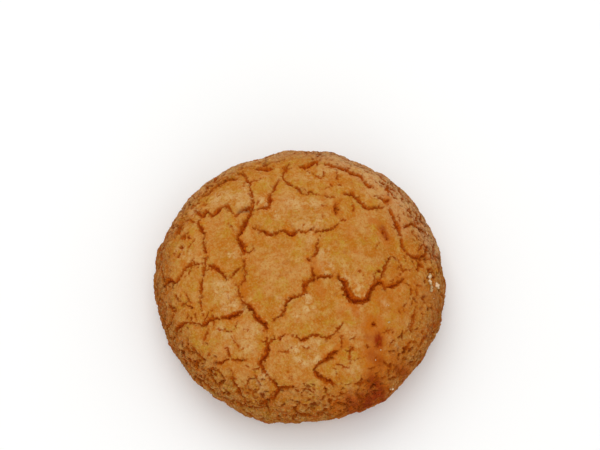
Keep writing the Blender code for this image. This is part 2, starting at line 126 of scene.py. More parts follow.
# The tears: as the mound rose, its dried skin split into plates, and the wet crumb below baked
# amber in the splits. Each is a route seen from straight above, in millimetres from the crown,
# with its mouth's widths at even steps along it, and with its raised lip on the left (1) or the
# right (-1) of the route, or with none (0).
Crack = collections.namedtuple("Crack", "name raised mouths route")
CRACKS = (
    Crack("left tear, top", 1, (0.3, 0.6, 0.4, 0.6, 0.35, 0.6, 0.35, 0.7),
          ((-15.5, 24), (-14, 24), (-13, 23), (-12, 21), (-11.5, 18.5), (-11, 16.5), (-11, 14.5))),
    Crack("left tear", 1, (0.8, 0.8, 0.9, 1.3, 1.2, 0.7, 1.1, 1.1, 0.3),
          ((-11, 14.5), (-12, 11.5), (-13.5, 8.5), (-14.5, 6.5), (-13.5, 4), (-13, 2.5), (-13.5, 1.5))),
    Crack("left tear, twig", 0, (0.5, 0.5, 0.2), ((-13, 2.5), (-11.5, 2.5), (-10.5, 3.5))),
    Crack("left tear, middle", 1, (0.6, 0.4, 0.3, 0.5, 0.3, 0.4, 0.4, 0.7),
          ((-12.5, 0.5), (-13, -1), (-12.5, -4), (-14, -6), (-14, -8), (-12.5, -10.5))),
    Crack("left tear, low", 1, (0.7, 1.2, 0.7, 1.1, 0.8, 1.4, 0.9, 0.3),
          ((-12.5, -10.5), (-11, -11.5), (-10, -13.5), (-8.5, -14.5), (-7.5, -16), (-7.5, -17))),
    Crack("left recess", -1, (0.35, 0.5, 0.6, 0.5), ((-15.5, 11.5), (-14, 13), (-11.5, 14.5))),
    Crack("left fork", 1, (0.4, 1.0, 0.7, 0.4, 0.5, 0.3),
          ((-21.5, 0), (-20.5, -0.5), (-18.5, -2), (-16.5, -4), (-15, -2.5), (-13.5, -1))),
    Crack("stem", -1, (0.6, 1.1, 1.0, 0.9, 0.6, 0.3, 0.6, 0.9, 0.8, 0.9, 0.5, 0.5),
          ((-7.5, -18), (-7.5, -20.5), (-8, -22), (-9, -23.5), (-8, -25.5), (-6, -27.5), (-5, -29),
           (-6.5, -30.5), (-8, -31), (-7, -32.5))),
    Crack("stem, upper twig", 0, (0.3, 0.5, 0.4), ((-7, -19), (-6, -18.5), (-5.5, -17.5))),
    Crack("stem, left twig", 0, (0.3, 0.5), ((-11, -24.5), (-8.5, -24.5))),
    Crack("stem, right twig", 0, (0.8, 0.6, 0.8, 0.3, 0.5, 0.3),
          ((-5, -28.5), (-2.5, -28.5), (-0.5, -28.5))),
    Crack("rising bend", 1, (0.35, 0.45, 0.6, 0.5, 0.65, 0.7, 0.5, 0.5, 1.1, 0.5, 0.9),
          ((-7, -14.5), (-5, -13.5), (-3.5, -12), (-3, -10), (-1, -9), (1, -8), (1, -6), (2.5, -5),
           (3.5, -4.5))),
    Crack("right tear, left", 1, (0.9, 0.6, 0.8, 0.8, 0.35), ((3.5, -4.5), (5, -4), (7, -4), (8, -4))),
    Crack("right tear", 1, (0.5, 0.9, 1.4, 1.9, 1.6, 1.2, 1.2, 1.1, 1.0, 0.9, 0.6),
          ((8.5, -3.5), (10.5, -5.5), (11, -7.5), (12, -9), (13.5, -9.5), (15.5, -9), (16.5, -6.5),
           (18, -5), (19, -4.5), (20, -6))),
    Crack("right tear, right", 1, (0.5, 1.1, 1.0, 0.8, 0.3),
          ((20, -5.5), (22, -5), (24, -3.5), (24.5, -3))),
    Crack("spur, low", 1, (0.8, 0.6, 0.25), ((3.5, -4.5), (3, -3), (2.5, -1.5))),
    Crack("spur, high", 1, (0.4, 0.6, 0.5, 0.3, 0.25), ((3, 0.5), (4, 2.5), (4, 3.5), (5, 6.5))),
    Crack("brow, left", 1, (0.6, 0.25, 0.6, 0.9, 0.5, 0.3, 0.9, 1.1, 0.4),
          ((-11, 8.5), (-8.5, 7.5), (-7, 6.5), (-5.5, 7), (-3.5, 7.5), (-2, 6.5), (-0.5, 7.5))),
    Crack("brow", 1, (0.3, 0.5, 0.4, 0.2, 0.4, 0.6, 0.5, 0.5, 0.2, 0.6),
          ((-0.5, 8), (1, 7), (3, 8), (3.5, 7), (6, 7.5), (8, 8.5), (9.5, 10), (10.5, 10.5))),
    Crack("brow, right", -1, (0.4, 0.9, 0.8, 0.5), ((8.5, 15), (8.5, 12))),
    Crack("upper fork", 0, (0.3, 0.4, 0.8, 0.6, 1.1, 0.3, 0.7, 0.5, 0.2),
          ((-11.5, 13), (-9.5, 13.5), (-7.5, 14), (-7, 16.5), (-6.5, 18), (-5.5, 20.5), (-5, 22))),
    Crack("back fork", 0, (0.5, 0.7, 0.5, 0.4, 0.6, 0.5, 0.7, 0.3, 0.6),
          ((-2.5, 27), (-4, 24), (-3.5, 21.5), (-2, 20), (-0.5, 19), (0.5, 17.5), (3, 18))),
    Crack("back rim, far left", 1, (0.3, 0.5, 0.6, 0.5, 0.8, 0.5),
          ((-24, 19), (-22, 20), (-20, 22), (-17, 23), (-15, 22.5))),
    Crack("back rim, left", 1, (0.3, 0.9, 1.1, 0.3), ((-11, 26), (-8.5, 25.5), (-6, 25.5))),
    Crack("back rim, middle", 1, (0.25, 0.9, 0.9, 0.9, 0.5),
          ((-0.5, 26), (1.5, 26), (3.5, 27.5), (4.5, 27.5))),
    Crack("back rim, right", 1, (0.4, 0.7, 0.4, 1.0, 0.6, 0.9, 0.6, 0.4, 0.7, 0.3),
          ((5.5, 27), (9, 26), (11, 25.5), (12.5, 24), (14.5, 23.5), (16, 21), (18, 19.5))),
    Crack("right rim, upper", 1, (0.4, 0.7, 1.0), ((18.5, 18), (20, 16.5), (21, 17))),
    Crack("right rim", 1, (0.3, 0.8, 0.4, 1.3, 0.7, 0.3, 0.6, 0.7),
          ((21, 15), (22.5, 12.5), (23.5, 10), (24, 7), (24.5, 4.5))),
    Crack("scale on the right", 1, (0.7, 0.5, 0.8, 0.8, 1.1, 0.6),
          ((24.5, 4.5), (25.5, 3.5), (27.5, 3), (29.5, 4), (30.5, 6.5))),
    Crack("scale, back", 1, (0.8, 0.8, 0.5, 0.6, 0.2), ((25, 10.5), (27, 12), (30, 11), (31, 10))),
    Crack("back plate, right", 1, (0.4, 0.8, 0.6, 0.7, 0.5, 0.6, 0.2),
          ((10, 17.5), (12.5, 17.5), (14.5, 15.5), (16, 14), (20, 15))),
    Crack("back plate, left", 0, (0.4, 0.45, 0.3), ((9, 25), (9, 21.5))),
    Crack("left shoulder", 1, (0.35, 0.7, 0.8, 0.8, 0.4, 1.0, 0.4, 0.5, 0.3),
          ((-25.5, 16), (-24, 14), (-23, 13), (-22, 14.5), (-21, 13), (-19, 14), (-17.5, 15),
           (-15.5, 12.5))),
    Crack("left plate", 1, (0.4, 0.8, 0.9, 0.4, 0.5, 1.1),
          ((-23, 12.5), (-24, 11), (-22.5, 8), (-22.5, 5.5), (-22, 3))),
    Crack("left seam", 0, (0.5, 0.3, 0.3, 0.8, 0.3, 0.4, 0.3),
          ((-22, 2), (-22.5, -2), (-23, -5), (-23, -9), (-22.5, -12))),
    Crack("left flank", 1, (0.5, 1.3, 0.6, 0.4, 0.5, 0.6, 0.4),
          ((-32.5, -3), (-31, -2), (-29, -3), (-27.5, -1), (-26, 0.5), (-23, 0.5))),
    Crack("left flank, low", 0, (0.3, 0.4, 0.4, 0.45), ((-29, -7.5), (-27, -8.5), (-24.5, -10))),
    Crack("lower left", 1, (0.4, 0.9, 0.6, 0.4, 0.4, 1.0, 0.7, 0.4, 1.1, 1.1, 0.3),
          ((-29.5, -14), (-27.5, -13), (-24, -13.5), (-22.5, -14), (-20.5, -13), (-18, -13), (-15.5, -12.5),
           (-13, -11.5))),
    Crack("front left", 0, (0.5, 0.5, 0.4, 0.6, 0.4),
          ((-17, -19.5), (-16, -22), (-14, -22.5), (-12.5, -22.5))),
    Crack("front left, outer", 0, (0.6, 0.9, 0.5, 0.3), ((-19.5, -22.5), (-18, -22.5), (-16, -22))),
    Crack("front seam", 0, (0.4, 0.6, 0.2, 0.35, 0.9, 0.3, 0.6, 0.3, 0.5, 0.3, 0.6, 0.3),
          ((-5, -18.5), (-3, -17.5), (-1, -18), (1, -18.5), (3, -17.5), (6, -18), (8, -17), (10, -14.5))),
    Crack("front right, high", -1, (0.3, 0.6, 0.4), ((9.5, -17.5), (9.5, -20))),
    Crack("front right, twig", 0, (0.3, 0.6, 0.4), ((10.5, -20.5), (11.5, -20.5), (12.5, -20))),
    Crack("front right", -1, (0.4, 1.3, 1.1, 0.5, 0.5, 1.1, 0.6, 1.0, 0.5),
          ((9, -20.5), (7.5, -21.5), (6, -22.5), (3.5, -24.5), (4, -26), (6, -27), (8.5, -28))),
    Crack("front slit", 0, (0.35, 0.5, 0.6), ((12.5, -27.5), (15, -27))),
    Crack("small right", 0, (0.5, 0.4, 0.5, 0.7, 0.6, 0.4), ((23, 1.5), (21.5, 2), (20, -0.5), (19, -4))),
)
DEEPEST = 1.2
SHALLOWEST = 0.12
DEPTH_SHARE = 0.68
STRAY = 0.15
STRAY_APART = 2.6
ROUTE_STEP = 0.4


def smooth_route(corners, spacing):
    """Points about one spacing apart on a smooth curve through the corners."""
    ends = [2 * corners[0] - corners[1], *corners, 2 * corners[-1] - corners[-2]]
    points = []
    for before, start, end, after in zip(ends, ends[1:], ends[2:], ends[3:]):
        count = max(1, round(float(np.hypot(*(end - start))) / spacing))
        for step in range(count):
            t = step / count
            bend = (end - before) + t * (2 * before - 5 * start + 4 * end - after)
            bend = bend + t * t * (3 * start - before - 3 * end + after)
            points.append(start + 0.5 * t * bend)
    points.append(corners[-1])
    return np.array(points)


def strayed(points):
    """The same route, wandering from side to side as a real crack does."""
    along = np.gradient(points, axis=0)
    along /= np.hypot(along[:, 0], along[:, 1])[:, None]
    offset = STRAY * soft_noise(np.column_stack([points, np.zeros(len(points))]), STRAY_APART)
    return points + np.column_stack([-along[:, 1], along[:, 0]]) * offset[:, None]


# Slits low on the flank, where the skin dried before it could stretch, drawn from one seed
SLIT_COUNT = 34
SLIT_LENGTHS = (3.0, 8.0)
SLIT_BAND = (34.0, 47.0)
SLIT_SHIFT = (0.1, 0.9)
SLIT_SLOPE = 1.6
SLIT_BEND = 0.5
SLIT_MOUTHS = (0.3, 0.55, 0.3)
SLIT_SEED = 11


def slit_corners():
    """Three corners on the disc of each slit, one slit for each equal share of the girth."""
    draw = random.Random(SLIT_SEED)
    for number in range(SLIT_COUNT):
        middle = 2 * math.pi * (number + draw.uniform(*SLIT_SHIFT)) / SLIT_COUNT
        reach = draw.uniform(*SLIT_BAND)
        half = draw.uniform(*SLIT_LENGTHS) / 2 / reach
        slope = draw.uniform(-SLIT_SLOPE, SLIT_SLOPE)
        corners = []
        for side in (-1, 0, 1):
            angle = middle + side * half
            distance = reach + side * slope + draw.uniform(-SLIT_BEND, SLIT_BEND)
            corners.append((distance * math.cos(angle), distance * math.sin(angle)))
        yield np.array(corners)


# Short splits, thickest round the rim: (x, y, spread, count, widest mouth) of each cluster seen
# from above
SPLITS = (
    (1, 30.5, 4, 10, 1.1), (-4, 26, 1.5, 3, 0.6), (7.5, 18.5, 2, 5, 0.6), (13, 28, 3.5, 9, 1.0),
    (22.5, 22.5, 3, 11, 1.0), (27.5, 16, 3.5, 12, 1.0), (30.5, 3, 3.5, 12, 0.9), (25, 0, 2, 4, 0.6),
    (16, -2.5, 3, 6, 0.5), (28.5, -6, 2.5, 8, 0.7), (24.5, -9, 2, 4, 0.5), (29, -13, 3, 12, 0.8),
    (25, -18, 3.5, 10, 0.8), (19, -17, 3, 6, 0.6), (28, -22, 3, 5, 0.7), (16, -21, 3, 4, 0.5),
    (22, -25, 3, 4, 0.6), (-27, 18.5, 2.5, 6, 0.9), (-30, 11.5, 2, 6, 0.9), (-26.5, 7, 2, 4, 0.8),
    (-28, 2.5, 3, 5, 0.5), (-22, 0, 2, 3, 0.5), (-32, -7, 3, 4, 0.5), (-26, -12, 2, 4, 0.5),
    (-26, -19.5, 2.5, 8, 0.9), (-22, -23.5, 2.5, 7, 0.8), (-17, -28, 2.5, 7, 0.9),
    (-11, -29.5, 2.5, 5, 0.6), (0, -31.5, 3, 6, 0.7), (6, -31.5, 2.5, 5, 0.9), (13, -29, 2.5, 4, 0.6),
    (-15, -7, 2, 3, 0.4), (-12, -20, 4, 4, 0.3), (5, 12, 4, 4, 0.3), (-1, -24, 4, 4, 0.3),
    (-18, 26, 3, 9, 1.0), (-9, 29, 3, 7, 1.0),
)
SPLIT_LENGTHS = (0.7, 3.0)
SPLIT_NARROWEST = 0.22
SPLIT_ENDS = 0.5
SPLIT_TURN = 0.8
SPLIT_SEED = 17


def split_ends():
    """(ends on the disc, mouth) of each short split, most of them running round the mound."""
    draw = random.Random(SPLIT_SEED)
    for x, y, spread, count, widest in SPLITS:
        for _ in range(count):
            middle = unrolled([(x + draw.uniform(-spread, spread), y + draw.uniform(-spread, spread))])[0]
            angle = math.atan2(middle[1], middle[0]) + math.pi / 2 + SPLIT_TURN * draw.uniform(-1, 1)
            half = draw.uniform(*SPLIT_LENGTHS) / 2
            away = half * np.array([math.cos(angle), math.sin(angle)])
            yield np.array([middle - away, middle + away]), draw.uniform(SPLIT_NARROWEST, widest)


# A line is a crack as drawn on the disc: its points, and the mouth and the depth at each of them
Line = collections.namedtuple("Line", "points mouth depth raised")


def drawn_line(corners, mouths, raised):
    """A line through corners on the disc, with its mouth's widths at even steps along it."""
    points = strayed(smooth_route(corners, ROUTE_STEP))
    mouth = np.interp(np.linspace(0, 1, len(points)), np.linspace(0, 1, len(mouths)), mouths)
    return Line(points, mouth, np.minimum(DEEPEST, SHALLOWEST + DEPTH_SHARE * mouth), raised)


lines = [drawn_line(unrolled(crack.route), crack.mouths, crack.raised) for crack in CRACKS]
lines += [drawn_line(corners, SLIT_MOUTHS, 0) for corners in slit_corners()]
lines += [drawn_line(ends, (SPLIT_ENDS * mouth, mouth, SPLIT_ENDS * mouth), 0)
          for ends, mouth in split_ends()]


def beside(flats, line, reach):
    """The places within reach of a line, how far off they are, on which side, and how far along it."""
    low = line.points.min(axis=0) - reach
    high = line.points.max(axis=0) + reach
    near = np.flatnonzero(((flats > low) & (flats < high)).all(axis=1))
    start = line.points[:-1]
    run = np.diff(line.points, axis=0)
    offset = flats[near, None] - start
    share = np.clip((offset * run).sum(axis=2) / (run * run).sum(axis=1), 0.0, 1.0)
    away = offset - share[..., None] * run
    gaps = np.hypot(away[..., 0], away[..., 1])
    best = gaps.argmin(axis=1)
    rows = np.arange(len(near))
    away = away[rows, best]
    across = run[best, 0] * away[:, 1] - run[best, 1] * away[:, 0]
    gap = gaps[rows, best]
    close = gap < reach
    return near[close], gap[close], np.sign(across)[close], (best + share[rows, best])[close]


def ring_lattice(spacing, reach_end):
    """Places on the disc in rings one spacing apart, as many in each as the girth there needs."""
    count = round(SKIN_REACH / spacing)
    rings = [np.zeros((1, 2))]
    for ring in range(1, count + 1):
        reach = SKIN_REACH * ring / count
        if reach > reach_end:
            break
        around = round(2 * math.pi * float(np.interp(reach, SKIN, RADIUS)) / spacing)
        angle = 2 * math.pi * (np.arange(around) + ring % 2 / 2) / around
        rings.append(reach * np.column_stack([np.cos(angle), np.sin(angle)]))
    return np.concatenate(rings)


def nearest(places, flats, count):
    """The indices and the distances of the nearest few of some places."""
    tree = kdtree.KDTree(len(places))
    for index, (x, y) in enumerate(places[:, :2].tolist()):
        tree.insert((x, y, 0.0), index)
    tree.balance()
    hits = [[hit[1:] for hit in tree.find_n((x, y, 0.0), count)] for x, y in flats.tolist()]
    hits = np.array(hits)
    return hits[..., 0].astype(int), hits[..., 1]


# The crackle: towards the flank the thin glaze broke into small patches, which are longer round
# the mound than down it, and only some of the seams between them opened
CRACKLE_APART = 2.9
CRACKLE_STRETCH = 1.35
CRACKLE_BAND = (17.0, 46.0)
CRACKLE_JITTER = 0.36
CRACKLE_MOUTHS = (0.22, 0.46)
CRACKLE_WIDENS = (26.0, 40.0)
CRACKLE_MIDDLE = 1.3
CRACKLE_SHOWN = 0.75
CRACKLE_PATCHY = 0.8
CRACKLE_PATCHES_APART = 7.0
CRACKLE_SEAMS = (0.5, 3.0 * CRACKLE_APART)
CRACKLE_EDGE = 0.4
CRACKLE_SEED = 21


def patch_centres(draw):
    """The middles of the patches of crackle, in uneven rings."""
    rings = []
    for reach in np.arange(CRACKLE_APART, SKIN_REACH, CRACKLE_APART):
        girth = 2 * math.pi * float(np.interp(reach, SKIN, RADIUS))
        around = round(girth / CRACKLE_APART / CRACKLE_STRETCH)
        angle = 2 * math.pi * (np.arange(around) + draw.random()) / around
        angle += draw.uniform(-CRACKLE_JITTER, CRACKLE_JITTER, around) * 2 * math.pi / around
        away = reach + draw.uniform(-CRACKLE_JITTER, CRACKLE_JITTER, around) * CRACKLE_APART
        rings.append(np.column_stack([away * np.cos(angle), away * np.sin(angle)]))
    return np.concatenate(rings)


def triangles_between(flats):
    """The corners, by number, of the triangles that join places on the disc."""
    return np.array(delaunay_2d_cdt([Vector(flat) for flat in flats.tolist()], [], [], 0, 1e-6)[2])


def seams(centres):
    """(start, end) of the seam between every two patches that touch."""
    corners = triangles_between(centres)
    a, b, c = (centres[corners[:, column]] for column in range(3))
    to_b, to_c = b - a, c - a
    twice = 2 * (to_b[:, 0] * to_c[:, 1] - to_b[:, 1] * to_c[:, 0])
    square_b, square_c = (to_b ** 2).sum(axis=1), (to_c ** 2).sum(axis=1)
    meets = a + np.column_stack([to_c[:, 1] * square_b - to_b[:, 1] * square_c,
                                 to_b[:, 0] * square_c - to_c[:, 0] * square_b]) / twice[:, None]
    first = {}
    for index, face in enumerate(corners.tolist()):
        for pair in ((0, 1), (1, 2), (2, 0)):
            key = tuple(sorted((face[pair[0]], face[pair[1]])))
            if key in first:
                yield meets[first[key]], meets[index]
            else:
                first[key] = index


crackle_draw = np.random.default_rng(CRACKLE_SEED)
crackle_centres = patch_centres(crackle_draw)
crackle_steps = crackle_draw.uniform(-1.0, 1.0, len(crackle_centres))


def crackle_lines():
    """The seams that opened, thicker on the ground towards the flank."""
    for start, end in seams(crackle_centres):
        between = (start + end) / 2
        reach = float(np.hypot(*between))
        patchy = noise.noise(Vector((*between, 0.0)) / CRACKLE_PATCHES_APART)
        shown = CRACKLE_SHOWN * float(eased(*CRACKLE_BAND, reach)) + CRACKLE_PATCHY * patchy
        widened = 0.7 + 0.6 * eased(*CRACKLE_WIDENS, reach)
        mouth = float(crackle_draw.uniform(*CRACKLE_MOUTHS) * widened)
        if CRACKLE_BAND[0] < reach < CRACKLE_BAND[1] and crackle_draw.random() < shown:
            if CRACKLE_SEAMS[0] < np.hypot(*(end - start)) < CRACKLE_SEAMS[1]:
                yield np.array([start, between, end]), mouth


lines += [drawn_line(corners, (mouth, CRACKLE_MIDDLE * mouth, mouth), 0)
          for corners, mouth in crackle_lines()]


def patch_steps(flats):
    """A random number for the patch of crackle at each place, softened over the patch's edge."""
    index, gap = nearest(crackle_centres, flats, 2)
    between = crackle_centres[index[:, 1]] - crackle_centres[index[:, 0]]
    to_edge = (gap[:, 1] ** 2 - gap[:, 0] ** 2) / (2 * np.hypot(between[:, 0], between[:, 1]))
    return crackle_steps[index[:, 0]] * eased(0.0, CRACKLE_EDGE, to_edge)


# Burst bubbles: the holes that show from above, and many pin-sized ones drawn from a seed, which
# stretched along the rim as the flank sank. Each is (x, y, radius), in millimetres.
HOLES = (
    (21, 20.5, 0.85), (2, 0, 0.4), (19.5, 8, 0.5), (20.5, 6.5, 0.35), (17, 20.5, 0.3),
    (-4.5, -18.5, 0.3), (26.5, 15.5, 0.45), (5, 31.5, 0.4), (7.5, 20, 0.35), (33.5, 2.5, 0.4),
    (31.5, -1, 0.4), (28, 0, 0.4), (18.5, -2, 0.4), (17, -14.5, 0.5), (15.5, -19.5, 0.4),
    (24.5, -19, 0.4), (27, -20, 0.4), (30, -9, 0.4), (29, -14.5, 0.4), (-31.5, 10.5, 0.5),
    (-30.5, 12.5, 0.6), (-28.5, 10.5, 0.75), (-27, 8, 0.6), (-26, 7.5, 0.45), (-28, 5.5, 0.45),
    (-28.5, 3.5, 0.4), (-26, 17.5, 0.5), (-23, -5, 0.4), (-27.5, -18.5, 0.5), (-25.5, -20.5, 0.55),
    (-24, -22, 0.6), (-23, -24, 0.5), (-20.5, -24, 0.4), (-19.5, -24.5, 0.45), (-17.5, -28, 0.5),
    (-16.5, -28.5, 0.5), (-15.5, -30, 0.4), (-14, -28.5, 0.85), (-18.5, -22.5, 0.45), (-1, -32.5, 0.45),
    (3.5, -31.5, 0.4), (7, -31, 0.6), (6, -32.5, 0.55), (1, -18.5, 0.4), (9.5, -29.5, 0.35),
    (12, -20, 0.35),
)
HOLE_DEPTH = 0.7
HOLE_STRETCH = 1.25
HOLE_MOUTH = 0.85
HOLE_JAG = 0.3
HOLE_FRAY = 0.15
HOLE_CORE = 0.7
HOLE_WIDE = (0.3, 0.6)
HOLE_HALO = 0.6
USUAL_HOLE = 0.5
USUAL_DEPTHS = (0.7, 1.3)
Pits = collections.namedtuple("Pits", "count radii stretch band depth seed")
PITS = (
    Pits(70, (0.3, 0.5), 2.4, (33.0, 49.0), 0.6, 5),
    Pits(240, (0.18, 0.3), 3.0, (29.0, 50.0), 0.45, 8),
    Pits(420, (0.2, 0.4), 1.6, (31.0, 50.0), 0.3, 6),
    Pits(150, (0.16, 0.3), 1.3, (2.0, 32.0), 0.18, 7),
)
PIT_TURN = 0.7
PIT_SHOWN = 2.0
DEEPEST_PIT = 0.6

# Hollows are pits as drawn on the disc: (x, y, radius, turn) of each, with their stretch and depth
Hollows = collections.namedtuple("Hollows", "table stretch depth")


def pit_table(pits):
    """The pits of one kind, spread by chance over their band and turned about along the girth."""
    draw = random.Random(pits.seed)
    found = []
    for _ in range(pits.count):
        angle = draw.uniform(0, 2 * math.pi)
        reach = draw.uniform(*pits.band)
        radius = draw.uniform(*pits.radii)
        turn = angle + PIT_TURN * draw.uniform(-1, 1)
        found.append((reach * math.cos(angle), reach * math.sin(angle), radius, turn))
    return np.array(found)


# Crumbs that broke out along the cracks left a row of small notches beside each one
NOTCH_APART = 1.6
NOTCH_OFFSET = 0.7
NOTCH_RADII = (0.14, 0.3)
NOTCH_DEPTH = 0.3
NOTCH_STRETCH = 1.6
NOTCH_SEED = 31


def notch_table():
    """The notches, strewn along the traced cracks."""
    draw = random.Random(NOTCH_SEED)
    found = []
    for line in lines[:len(CRACKS)]:
        for _ in range(round(len(line.points) * ROUTE_STEP / NOTCH_APART)):
            x, y = line.points[draw.randrange(len(line.points))].tolist()
            x += draw.uniform(-NOTCH_OFFSET, NOTCH_OFFSET)
            y += draw.uniform(-NOTCH_OFFSET, NOTCH_OFFSET)
            found.append((x, y, draw.uniform(*NOTCH_RADII), draw.uniform(0, math.pi)))
    return np.array(found)


hole_places = unrolled([hole[:2] for hole in HOLES])
hole_sizes = np.array([(hole[2], 0.0) for hole in HOLES])
holes = Hollows(np.column_stack([hole_places, hole_sizes]), HOLE_STRETCH, HOLE_DEPTH)
pitted_groups = [Hollows(pit_table(pits), pits.stretch, pits.depth) for pits in PITS]
pitted_groups.append(Hollows(notch_table(), NOTCH_STRETCH, NOTCH_DEPTH))


def off_centre(found, flats):
    """How far each place is from the middle of the pit that holds it, as a share of the pit's
    radius, and that radius."""
    table = found.table[nearest(found.table, flats, 3)[0]]
    away_x = flats[:, None, 0] - table[..., 0]
    away_y = flats[:, None, 1] - table[..., 1]
    across = away_x * np.cos(table[..., 3]) + away_y * np.sin(table[..., 3])
    along = away_y * np.cos(table[..., 3]) - away_x * np.sin(table[..., 3])
    share = np.hypot(across, along / found.stretch) / table[..., 2]
    best = share.argmin(axis=1)
    rows = np.arange(len(flats))
    return share[rows, best], table[rows, best, 2]


# Browning and painted light: the crust is pale in patches where it puffed, partly as painted
# highlight, warmer by its cracks, darker low on the flanks as painted shade, and scorched in a patch
# at the front right; a pale band round the back rim is painted sheen. Each patch lies along a short
# line seen from above: (x, y, x, y, radius, strength).
TOASTED = (
    (18, -18, 18, -18.5, 1.3, 1.0), (16.5, -21, 18, -22.5, 1.2, 0.4), (17, -26.5, 18, -28.5, 1.8, 0.9),
    (14.5, -30, 18, -29.5, 1.4, 0.9), (11.5, -30.5, 13.5, -31.5, 1.2, 0.7),
    (23, -23.5, 25, -23.5, 1.0, 0.5), (19, 8.5, 20, 7, 0.9, 0.7), (15, -17.5, 16.5, -18, 0.8, 0.3),
)
GLOWS = (
    (3, -0.5, 3.5, -4, 1.2, 0.8), (4, -5, 5.5, -8.5, 1.2, 0.7), (19.5, -8.5, 22, -11, 3.0, 0.5),
    (20, -15, 21, -16, 2.0, 0.5), (11.5, 8, 12, 3, 1.2, 0.5), (9.5, -12.5, 11, -13, 1.4, 0.5),
    (17, 10.5, 19, 10, 0.9, 0.8), (12.5, -11, 13, -13, 0.7, 0.9), (-13, -5, -13, -10, 1.0, 0.7),
    (10, -19.5, 6, -22.5, 1.0, 1.0), (8.5, 15, 8.5, 12.5, 0.8, 1.0), (20.5, 17.5, 21, 16, 0.9, 0.9),
    (17, -16, 18, -27, 3.4, 1.0), (18, -29, 10, -32, 2.8, 1.0), (22, -22, 25, -23, 2.2, 0.8),
    (20, 8.5, 20, 6, 2.2, 0.4), (24, -3.5, 21, -5, 1.5, 0.8), (22, -3, 31, -6, 2.4, 0.4),
)
# Pale patches on the plates, partly painted highlight
PALE_AND_HIGHLIT = (
    (-5, -9.5, -4.5, -11, 0.7, 1.0), (6, 1.5, 6.5, -2, 1.3, 0.9), (10, -0.5, 10.5, -1.5, 1.0, 0.6),
    (-16, 1.5, -15, 1.5, 0.8, 1.0), (-18.5, -5.5, -16.5, -10, 2.2, 0.8),
    (-16, -9.5, -15.5, -10, 0.9, 1.0), (-13.5, -10, -13, -11, 0.7, 1.0),
    (-1, -13, -0.5, -13.5, 0.9, 1.0), (1, -9, 2.5, -12, 1.2, 1.0), (-0.5, -20.5, 0.5, -23, 1.4, 1.0),
    (3, -21.5, 3.5, -22.5, 1.1, 0.9), (0.5, -19.5, 2, -20.5, 1.4, 0.8),
    (3.5, -19, 4.5, -19.5, 1.4, 0.8), (-3, -19, -1.5, -20, 1.4, 0.6),
    (-8.5, -25.5, -7.5, -26.5, 0.8, 0.9), (-9.5, -27, -8.5, -28, 1.2, 0.7),
    (-11, -16.5, -12, -19, 2.4, 0.7), (-18, -16, -15, -19, 2.0, 0.7), (-19, 17.5, -13.5, 16, 2.0, 0.8),
    (-14, 21.5, -13, 19.5, 1.4, 0.8), (-8, 12.5, -6, 11.5, 1.4, 0.8),
    (-9.5, 15.5, -8.5, 14.5, 1.0, 0.9), (-3, 14.5, 3, 14.5, 1.8, 0.7), (-0.5, 9.5, 5, 10, 1.8, 0.7),
    (2.5, 6, 3, 5, 0.9, 0.8), (13, 27, 17, 23, 2.0, 0.8), (18.5, 22.5, 21, 22, 1.6, 0.8),
    (22.5, 18.5, 25.5, 18, 1.5, 0.7), (16, 18.5, 18, 17.5, 1.6, 0.5), (1.5, 22.5, 7.5, 24, 2.0, 0.5),
    (19.5, -9, 20, -10, 0.8, 0.9), (10.5, -5, 14, -7.5, 2.2, 0.8), (13, -11.5, 13.5, -14.5, 1.3, 0.6),
    (12, -16.5, 13.5, -17.5, 1.8, 0.5), (15, -20, 15, -20.5, 0.7, 0.8), (12, -24, 13, -25, 1.2, 0.6),
    (11.5, -29, 12.5, -29.5, 1.2, 0.6), (21, -17.5, 22.5, -18.5, 1.0, 0.5),
    (-27.5, 5, -26, 3, 1.5, 0.6), (-26, 16, -25, 14.5, 1.0, 0.7), (-9, 30, -3.5, 30, 1.4, 0.6),
    (7.5, 30, 11, 28.5, 1.4, 0.7), (-20, 26, -15.5, 26.5, 1.2, 0.7), (-14.5, 28, -12, 29.5, 1.2, 0.6),
    (31, 9.5, 32.5, 7.5, 1.2, 0.4),
)
# Painted sheen: the pale pink band round the back rim is the sheen of light grazing it from behind, painted
# into the colour
RIM_SHEEN = (
    (-22, 26, -8, 33, 3.0, 0.9), (-8, 32.5, 8, 33.5, 3.2, 0.9), (8, 30.5, 18, 28, 4.8, 1.0),
    (17, 27, 27, 18.5, 5.0, 1.0), (21, 19, 24, 10, 2.4, 0.6), (27, 18, 33, 7, 3.4, 1.0),
    (-31, 17, -23, 25, 2.4, 0.8), (-32, 10, -29, 17, 1.6, 0.5),
)
# Painted shade: the darker patches low on the left and right flanks are shade painted into the colour
FLANK_SHADE = (
    (-34, 9, -34, -8, 3.2, 1.0), (-33, -8, -28, -19, 3.0, 0.9), (-25, -22, -17, -29, 2.2, 0.5),
    (34, -2, 31, -13, 3.4, 0.8), (30, -15, 20, -28, 3.4, 0.5), (26, 8, 30, 5, 2.0, 0.6),
    (28, 2, 28, -12, 3.0, 0.45), (20, 2, 26, -2, 3.0, 0.3),
)

# A small sunken face of bare crumb beside the left tear
RECESS = ((-14, 13, -12, 13.5, 0.7, 1.0),)
RECESS_DROP = 0.4

# How far the edges of the patches wander, which is farther low on the flank
PATCH_WANDER = 0.8
PATCH_WANDER_LOW = 2.0
PATCH_WANDER_APART = 4.0
LOW_BAND = (2.0, 14.0)
PATCH_EDGE = (0.3, 1.6)


